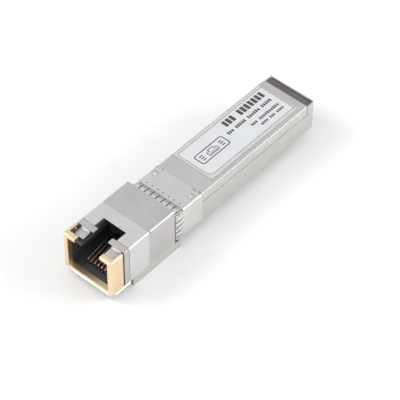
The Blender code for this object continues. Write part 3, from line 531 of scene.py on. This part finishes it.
def collar_outline(slots, reach):
    """Outline of the flat sheet: fingers with eased tips, and the slots between them."""
    outline = [(reach, COLLAR_END), (-reach, COLLAR_END), (-reach, COLLAR_LIP_FRONT)]
    outline.append((slots[0][0] - slots[0][1] / 2, COLLAR_LIP_FRONT))
    tip = ((0.1, 0.0), (0.03, 0.03), (0.0, 0.1))
    for index, (middle, width) in enumerate(slots):
        left, right = middle - width / 2, middle + width / 2
        if index > 0:
            outline += [(left - across, COLLAR_FRONT + back) for across, back in tip]
        outline += collar_slot_end(left, right)
        if index < len(slots) - 1:
            outline += [(right + across, COLLAR_FRONT + back) for across, back in reversed(tip)]
    outline.append((slots[-1][0] + slots[-1][1] / 2, COLLAR_LIP_FRONT))
    outline.append((reach, COLLAR_LIP_FRONT))
    return outline


def make_collar():
    """Sheet wrapped round the body, with bowed fingers parted by round-ended slots."""
    half, low, high = COLLAR_HALF, COLLAR_LOW, COLLAR_HIGH
    lip = COLLAR_LIP_X
    corners = [(-lip, low), (-half, low), (-half, high), (half, high), (half, low), (lip, low)]
    rail = Rail(filleted(corners, COLLAR_FOLD, 8))
    reach = rail.length / 2

    def bend(u, v, level):
        bow = 0.0
        if v < FINGER_END:
            bow = FINGER_BOW * math.sin(math.pi * (v - BOW_FRONT) / (FINGER_END - BOW_FRONT))
        point = rail.place(u + reach, level + bow)
        return at(point.x, v, point.y)

    fold_arc = COLLAR_FOLD * math.pi / 4
    top_half = half - COLLAR_FOLD + fold_arc

    def down_side(z):
        """Distance along the sheet from the middle of its top to a height on its side."""
        return top_half + (high - z) - COLLAR_FOLD + fold_arc

    columns = [column * FINGER_PITCH for column in range(-3, 4)]
    slots = [(x, SLOT_WIDTH) for x in columns]
    for side in (-1, 1):
        slots.append((side * (top_half - 0.02), TOP_CORNER_GAP))
        for row in range(5):
            slots.append((side * down_side(LOWEST_SIDE_SLOT + FINGER_PITCH * row), SLOT_WIDTH))
        slots.append((side * (down_side(low) - 0.05), LOW_CORNER_GAP))
    slots.sort()
    holes = [ring_outline(x, DOT_Y, DOT_RADIUS, 16) for x in columns]
    for side in (-1, 1):
        low_x, high_x = side * WINDOW_X - WINDOW_HALF, side * WINDOW_X + WINDOW_HALF
        holes.append(rounded_box(low_x, high_x, WINDOW_FRONT, WINDOW_END, 0.12, 4))
    cuts_u = [x + shift for x in columns for shift in (-0.28, 0.28)]
    for side in (-1, 1):
        for centre in (top_half, down_side(low)):
            cuts_u += [side * (centre + COLLAR_FOLD * share) for share in FOLD_CUTS]
        cuts_u += [side * (WINDOW_X + shift) for shift in (-0.68, 0.68, 0.95)]
    cuts_v = [COLLAR_FRONT + 0.15 * step for step in range(1, 19)]
    cuts_v += [24.25, DOT_Y - 0.28, DOT_Y + 0.28, WINDOW_FRONT - 0.08, WINDOW_END + 0.08]
    bm = bmesh.new()
    add_slab(bm, [collar_outline(slots, reach)] + holes, -COLLAR_SHEET, 0.0, bend, cuts_u, cuts_v)
    collar = make_piece(bm, "collar_sheet", "collar_nickel", stands_for=("emi_collar",), sharp=40.0)
    round_edges(collar, 0.03, 1, 50.0)


make_collar()


# --------------------------------------------------------- socket and handle

CONTACT_PITCH, CONTACT_RADIUS = 1.02, 0.15
CONTACT_PATH = [
    (18.2, 4.52),
    (16.5, 4.52),
    (15.7, 3.42),
    (4.6, 3.38),
    (3.9, 3.5),
    (3.7, 3.82),
    (4.1, 4.12),
    (8.0, 5.15),
    (11.6, 5.95),
]


def bend_rows(rail, corner_stops, spread, steps=7):
    """Distances at which a sheet needs an edge to follow the rail's rounded corners."""
    rows = []
    for stop in corner_stops:
        rows += [stop - spread + 2 * spread * step / (steps - 1) for step in range(steps)]
    return [row for row in rows if 0.01 < row < rail.length - 0.01]


CLIP_FRONT, CLIP_END = 4.4, 6.0
CLIP_FINGER_FRONT = 3.25
CLIP_SHEET, CLIP_FINGER_HALF_SHEET = 0.2, 0.08


def make_ground_spring(side, name):
    """Clip over the socket's side: a bar, a wall, and a finger that dips from under the bar."""
    bar = Rail(filleted([(2.2, 13.25), (7.1, 13.25), (7.1, 2.7)], 0.45, 8))
    finger = Rail(filleted([(5.9, 13.14), (5.5, 13.14), (4.25, 12.25), (2.25, 12.0)], 0.3, 6))

    def bend_bar(u, v, level):
        point = bar.place(u, level)
        return at(side * point.x, v, point.y)

    def bend_finger(u, v, level):
        point = finger.place(u, level)
        return at(side * v, point.x, point.y)

    bm = bmesh.new()
    outline = rounded_box(0.0, bar.length, CLIP_FRONT, CLIP_END, 0.12, 3)
    add_slab(bm, [outline], -CLIP_SHEET, 0.0, bend_bar, bend_rows(bar, (4.83,), 0.38, 9))
    outline = rounded_box(0.0, finger.length, CLIP_FINGER_FRONT, CLIP_END, 0.15, 4)
    half_sheet = CLIP_FINGER_HALF_SHEET
    rows = bend_rows(finger, (0.4, 1.93), 0.3)
    add_slab(bm, [outline], -half_sheet, half_sheet, bend_finger, rows)
    spring = make_piece(bm, name + "_sheet", "spring_steel", stands_for=(name,))
    round_edges(spring, 0.025, 1, 50.0)


LAP_HALF, LAP_LOW, LAP_TOP = 6.89, 2.8, 13.09
LAP_FRONT, LAP_END = 11.9, 13.1
RIDGE_FRONT, RIDGE_END, RIDGE_HEIGHT = 12.462, 12.538, 0.185


def make_shield_lap():
    """Joggled edge of the rear shield that lies under the front one, and a ridge that fills the seam."""
    corners = [(-LAP_HALF, LAP_LOW), (-LAP_HALF, LAP_TOP), (LAP_HALF, LAP_TOP), (LAP_HALF, LAP_LOW)]
    rail = Rail(filleted(corners, 0.28, 8))

    def bend(u, v, level):
        point = rail.place(u, level)
        return at(point.x, v, point.y)

    def strip(low_u, high_u, low_v, high_v):
        return [(low_u, low_v), (high_u, low_v), (high_u, high_v), (low_u, high_v)]

    bm = bmesh.new()
    stops = (10.1, rail.length - 10.1)
    lap = strip(0.0, rail.length, LAP_FRONT, LAP_END)
    add_slab(bm, [lap], -0.06, 0.0, bend, bend_rows(rail, stops, 0.3, 9))
    wall, top = 9.6, 10.75
    for low_u, high_u in ((0.0, wall), (top, rail.length - top), (rail.length - wall, rail.length)):
        add_slab(bm, [strip(low_u, high_u, RIDGE_FRONT, RIDGE_END)], 0.0, RIDGE_HEIGHT, bend)
    make_piece(bm, "shield_lap", "shield_light")


def make_contacts():
    for index in range(8):
        x = (index - 3.5) * CONTACT_PITCH
        bm = bmesh.new()
        add_tube(bm, filleted([(x, y, z) for y, z in CONTACT_PATH], 0.35, 5), CONTACT_RADIUS, 14)
        name, stands_for = f"contact_wire_{index + 1}", (f"contact_{index + 1}",)
        # the wires take the darkened gold, painted shade of the socket's inside
        make_piece(bm, name, "gold", stands_for=stands_for, sharp=60.0, material=SHADED_CONTACT_GOLD)


def make_bail():
    """Wire handle with smooth bends."""
    z, pivot_y, front_y, arm_x, pin_x = 1.5, 6.5, 0.75, 6.5, 1.72
    corners = [(pin_x, pivot_y), (arm_x, pivot_y), (arm_x, front_y)]
    corners += [(-x, y) for x, y in reversed(corners)]
    path = filleted([(x, y, z) for x, y in corners], [0.55, 1.3, 1.3, 0.55], 10)
    bm = bmesh.new()
    add_tube(bm, path, 0.5, 24)
    make_piece(bm, "bail_wire", "bail_steel", body="bail", stands_for=("bail",), sharp=60.0)


def make_coil():
    """Return spring with closed turns at both ends; the real one shortens as the slider moves."""
    front, end, radius, wire_radius, height = 11.3, 15.72, 0.5, 0.1, 1.15
    closed, turns, per_turn = 0.22, 9.5, 20
    path = []
    for step in range(int(turns * per_turn) + 1):
        turn = step / per_turn
        if turn < 1:
            y = front + closed * turn
        elif turn > turns - 1:
            y = end - closed * (turns - turn)
        else:
            y = front + closed + (end - front - 2 * closed) * (turn - 1) / (turns - 2)
        angle = 2 * math.pi * turn
        path.append((radius * math.cos(angle), y, height + radius * math.sin(angle)))
    bm = bmesh.new()
    add_tube(bm, path, wire_radius, 8)
    coil = make_piece(bm, "return_coil", "bail_steel", stands_for=("slider_spring",), sharp=70.0)
    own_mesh(coil)


def make_screws():
    """Flat heads with cross recesses, seen from below, on their shanks."""
    arm, slim, waist = 0.78, 0.13, 0.24
    cross = []
    for quarter in range(4):
        turn = math.radians(90 * quarter)
        for along, beside in ((waist, -waist), (arm, -slim), (arm, slim)):
            x = along * math.cos(turn) - beside * math.sin(turn)
            y = along * math.sin(turn) + beside * math.cos(turn)
            cross.append((x, y))
    for name, y in (("cover_screw_front", 31.0), ("cover_screw_rear", 57.2)):
        bm = bmesh.new()
        recess = [(x, y + v) for x, v in cross]
        add_slab(bm, [ring_outline(0, y, 1.38, 40), recess], 2.6, 2.9)
        add_slab(bm, [ring_outline(0, y, 1.38, 40)], 2.89, 3.2)
        add_slab(bm, [ring_outline(0, y, 0.75, 24)], 3.1, 8.6)
        screw = make_piece(bm, name + "_head", "bail_steel", stands_for=(name,))
        round_edges(screw, 0.06, 2, 40.0)


def make_small_marks():
    """Ground pins beside the mouth, rivet ends, ejector marks and a dark grey strip in the tail's step.
    """
    for side, name in ((-1, "left"), (1, "right")):
        bm = bmesh.new()
        profile = [(0, 0.12), (0.08, 0.11), (0.14, 0.04), (0.15, -0.4), (0, -0.4)]
        add_turned(bm, profile, (side * 6.17, 3.0, 13.0), 16)
        make_piece(bm, f"side_pin_{name}", "bail_steel")
        bm = bmesh.new()
        profile = [(0, 0.1), (0.22, 0.09), (0.3, 0.02), (0.36, 0.0), (0.5, 0.0)]
        profile += [(0.58, 0.03), (0.6, 0.3), (0, 0.3)]
        add_turned(bm, profile, (side * 3.95, 15.0, 0.0), 28)
        make_piece(bm, f"rivet_head_{name}", "bail_steel", stands_for=(f"plate_rivet_{name}",))
    bm = bmesh.new()
    for x, y in ((-4.7, 35.5), (4.7, 35.5), (-4.7, 52.5), (4.7, 52.5)):
        add_slab(bm, [ring_outline(x, y, 0.85, 32)], 2.48, 2.6)
    marks = make_piece(bm, "ejector_marks", "cast_nickel")
    round_edges(marks, 0.02, 1, 40.0)
    # dark grey strip laid in the tail's step, so the band there reads dark
    bm = bmesh.new()
    add_slab(bm, [rounded_box(-6.3, 6.3, 67.8, 69.66, 0.2, 3)], 10.54, 10.68)
    band = make_piece(bm, "tail_step_dark_strip", "foam_grey")
    round_edges(band, 0.05, 2, 40.0)


# --------------------------------------------------------------- label print and painted edge shadow

PRINT_LEVEL = 11.02
PRINT_LEFT, PRINT_RIGHT, PRINT_FRONT, PRINT_END = -5.6, 4.55, 35.87, 65.33


def label_outline(inset):
    """White area with one large corner, at its right towards the socket, and three small ones."""
    left, right = PRINT_LEFT + inset, PRINT_RIGHT - inset
    front, end = PRINT_FRONT + inset, PRINT_END - inset
    small = rounded_box(left, right, front, end, 0.3, 8)
    large = rounded_box(left, right, front, end, 1.8 - inset, 8)
    return small[:27] + large[27:]


def label_layer(name, shapes, rise, material):
    bm = bmesh.new()
    for loops in shapes:
        add_slab(bm, loops, PRINT_LEVEL - 0.02, PRINT_LEVEL + rise)
    return make_piece(bm, name, "label_film", material=material)


def block_row(middle_x, height, front, end, groups):
    """Row of plain blocks along the label; each group is a count and a share of the height."""
    cells = sum(count for count, _ in groups) + len(groups) - 1
    pitch = (end - front) / cells
    shapes, cell = [], 0
    for count, share in groups:
        for step in range(count):
            low_y = front + (cell + step) * pitch
            trim = pitch * (0.06 if step % 3 else 0.1)
            short = height * (0.5 - share / 2) if step % 4 in (1, 2) else 0.0
            low_x, high_x = middle_x - height / 2 + short, middle_x + height / 2
            high_y = low_y + pitch * 0.8
            shapes.append([rounded_box(low_x, high_x, low_y + trim, high_y, pitch * 0.12, 2)])
        cell += count + 1
    return shapes


def make_label_layers():
    label_layer("label_white", [[label_outline(0.0)]], 0.004, PRINT_WHITE)
    # dark ring at the white area's edge: painted shadow of the label's cut edge
    label_layer("label_border", [[label_outline(0.0), label_outline(0.12)]], 0.008, PIN_MARK_AND_EDGE_SHADOW_GREY)
    shapes = block_row(-3.9, 2.0, 50.0, 64.1, [(3, 1.0), (7, 1.0)])
    shapes += block_row(-1.3, 0.9, 48.5, 63.9, [(3, 0.8), (5, 1.0), (6, 0.75), (5, 0.9)])
    shapes += block_row(0.95, 0.8, 54.3, 63.9, [(3, 0.8), (10, 0.75)])
    shapes += block_row(2.5, 0.7, 56.0, 63.9, [(4, 1.0), (3, 1.0), (4, 1.0)])
    label_layer("label_rows", shapes, 0.008, INK)
    frame_outline = rounded_box(-2.3, 1.1, 37.5, 47.1, 0.7, 6)
    frame_inner = rounded_box(-2.02, 0.82, 37.78, 46.82, 0.45, 6)
    icon = [[frame_outline, frame_inner]]
    port = [(0.35, 40.6), (0.35, 44.0), (-0.95, 44.0), (-0.95, 43.2)]
    port += [(-1.5, 43.2), (-1.5, 41.4), (-0.95, 41.4), (-0.95, 40.6)]
    port_inner = [(0.15, 40.8), (0.15, 43.8), (-0.75, 43.8), (-0.75, 43.0)]
    port_inner += [(-1.3, 43.0), (-1.3, 41.6), (-0.75, 41.6), (-0.75, 40.8)]
    icon.append([port, port_inner])
    for tick in range(5):
        y = 41.2 + tick * 0.5
        icon.append([rounded_box(-0.45, 0.16, y, y + 0.2, 0.04, 1)])
    for low_y in (38.5, 45.0):
        for row in range(3):
            x = -1.35 + row * 0.65
            icon.append([rounded_box(x, x + 0.3, low_y, low_y + 1.1, 0.1, 3)])
    label_layer("label_pictogram", icon, 0.008, INK)


# -------------------------------------------------------------- board details


BOARD_TOP = 5.75


def make_board_parts():
    """Small ceramic parts with plated ends, and plated holes, on the board's upper face."""
    top = BOARD_TOP
    ceramic, ends, rings = bmesh.new(), bmesh.new(), bmesh.new()
    beside_coils = [-4.3 + 0.95 * column for column in range(10)]
    places = [(x, y) for y in (30.0, 33.3) for x in beside_coils if abs(x) > 2.1]
    places += [(x, 39.0) for x in (-4.4, -3.2, 2.6, 3.8)]
    places += [(x, 48.75) for x in (-4.6, 4.6)]
    beside_screw = [-3.9 + 1.1 * column for column in range(8)]
    places += [(x, 56.2) for x in beside_screw if abs(x) > 2.2]
    places += [(-4.2 + 1.2 * column, 60.2) for column in range(8)]
    for x, y in places:
        add_box(ceramic, (x - 0.16, y - 0.26, top), (x + 0.16, y + 0.26, top + 0.32))
        for low_y in (y - 0.34, y + 0.22):
            add_box(ends, (x - 0.18, low_y, top - 0.01), (x + 0.18, low_y + 0.12, top + 0.34))
    for index in range(18):
        x = -4.5 + 9.0 * ((index * 0.37) % 1.0)
        y = 59.0 + 2.4 * ((index * 0.61) % 1.0) - 28.0 * (index % 2)
        loops = [ring_outline(x, y, 0.22, 14), ring_outline(x, y, 0.11, 14)]
        add_slab(rings, loops, top - 0.01, top + 0.02)
    make_piece(ceramic, "board_ceramics", "ceramic_tan")
    make_piece(ends, "board_solder_ends", "cover_nickel")
    make_piece(rings, "board_via_rings", "gold")


def make_chip_details():
    """Leads along the line transformer and first-pin marks on the chips."""
    leads, marks = bmesh.new(), bmesh.new()
    for edge_y, away in ((22.8, -1), (29.0, 1)):
        for index in range(12):
            x = -4.4 + 0.8 * index
            knee_y, foot_y = edge_y + away * 0.4, edge_y + away * 0.85
            corners = [(x, edge_y, 7.2), (x, knee_y, 7.2), (x, knee_y, 5.86), (x, foot_y, 5.83)]
            add_tube(leads, filleted(corners, 0.15, 3), 0.09, 8)
    for x, y, z in ((-3.7, 40.3, 7.0), (-4.1, 34.9, 6.65), (-4.3, 23.7, 9.7), (-0.9, 49.8, 6.7)):
        add_slab(marks, [ring_outline(x, y, 0.22, 20)], z - 0.02, z + 0.012)
    make_piece(leads, "transformer_leads", "cover_nickel", sharp=50.0)
    make_piece(marks, "first_pin_marks", "chip_black", material=PIN_MARK_AND_EDGE_SHADOW_GREY)


make_ground_spring(-1, "ground_spring_left")
make_ground_spring(1, "ground_spring_right")
make_shield_lap()
make_contacts()
make_bail()
make_coil()
make_screws()
make_small_marks()
make_label_layers()
make_board_parts()
make_chip_details()


# ------------------------------------------------------- camera, floor, light


def make_camera():
    """Long lens, aimed from the top front corner of the module."""
    azimuth, elevation, distance = math.radians(41.4), math.radians(47.1), 0.4968
    side, rise = 0.02473, 0.01057
    low, high = CAD_BOX
    corner = Vector((0.0, low.y, high.z))
    back = Vector(
        (
            math.sin(azimuth) * math.cos(elevation),
            -math.cos(azimuth) * math.cos(elevation),
            math.sin(elevation),
        )
    )
    right = Vector((math.cos(azimuth), math.sin(azimuth), 0.0))
    up = back.cross(right)
    camera = bpy.data.objects.new("camera", bpy.data.cameras.new("camera"))
    turn = Matrix((right, up, back)).transposed()
    where = corner + right * side + up * rise + back * distance
    camera.matrix_world = Matrix.Translation(where) @ turn.to_4x4()
    camera.data.lens = 205.0
    camera.data.sensor_width = 36.0
    camera.data.clip_start = 0.01
    camera.data.clip_end = 10.0
    scene.collection.objects.link(camera)
    scene.camera = camera


def area_light(name, where, target, size, power, colour=(1.0, 1.0, 1.0)):
    light = bpy.data.lights.new(name, "AREA")
    light.shape = "RECTANGLE"
    light.size, light.size_y = size
    light.energy = power
    light.color = colour
    lamp = bpy.data.objects.new(name, light)
    lamp.location = where
    lamp.rotation_euler = (Vector(target) - Vector(where)).to_track_quat("-Z", "Y").to_euler()
    scene.collection.objects.link(lamp)


def make_floor():
    """White floor that the module stands on."""
    mesh = bpy.data.meshes.new("floor")
    bm = bmesh.new()
    bmesh.ops.create_grid(bm, x_segments=1, y_segments=1, size=2.0)
    bm.to_mesh(mesh)
    bm.free()
    floor = bpy.data.objects.new("floor", mesh)
    s = Shader("floor_look", (0.86, 0.86, 0.86), 0.7)
    grain = s.noise((0.05, 0.05, 0.05), 2.0)
    s.paint("Base Color", s.mix(grain, (0.84, 0.84, 0.84), (0.88, 0.88, 0.88)))
    mesh.materials.append(s.material)
    scene.collection.objects.link(floor)


def make_light():
    """Pale studio: a sky with a dark card at its rear left, a soft key, and a strip for the folds."""
    world = bpy.data.worlds.new("studio")
    world.use_nodes = True
    nodes, links = world.node_tree.nodes, world.node_tree.links
    direction = nodes.new("ShaderNodeTexCoord")
    split = nodes.new("ShaderNodeSeparateXYZ")
    ramp = nodes.new("ShaderNodeValToRGB")
    links.new(direction.outputs["Generated"], split.inputs["Vector"])
    links.new(split.outputs["Z"], ramp.inputs["Fac"])
    toward_card = nodes.new("ShaderNodeVectorMath")
    toward_card.operation = "DOT_PRODUCT"
    toward_card.inputs[1].default_value = (-0.45, 0.81, 0.375)
    card = nodes.new("ShaderNodeMapRange")
    for socket, value in (("From Min", 0.90), ("From Max", 0.98), ("To Min", 1.0), ("To Max", 0.5)):
        card.inputs[socket].default_value = value
    links.new(direction.outputs["Generated"], toward_card.inputs[0])
    links.new(toward_card.outputs["Value"], card.inputs["Value"])
    links.new(card.outputs["Result"], nodes["Background"].inputs["Strength"])
    links.new(ramp.outputs["Color"], nodes["Background"].inputs["Color"])
    ramp.color_ramp.elements[0].position = 0.0
    ramp.color_ramp.elements[0].color = (0.64, 0.64, 0.65, 1.0)
    ramp.color_ramp.elements[1].position = 0.6
    ramp.color_ramp.elements[1].color = (0.87, 0.87, 0.875, 1.0)
    scene.world = world
    area_light("key", (-0.45, -0.40, 0.55), (0, 0, 0), (0.35, 0.35), 2.6, (1.0, 0.985, 0.96))
    area_light("fold_strip", (0.50, 0.38, 0.30), (0, 0, 0), (0.50, 0.16), 2.4, (1.0, 1.0, 1.0))
    area_light("front_fill", (-0.10, -0.60, 0.22), (0, 0, 0), (0.50, 0.25), 0.3, (0.97, 0.98, 1.0))


make_camera()
make_floor()
make_light()
scene.view_settings.view_transform = "Standard"
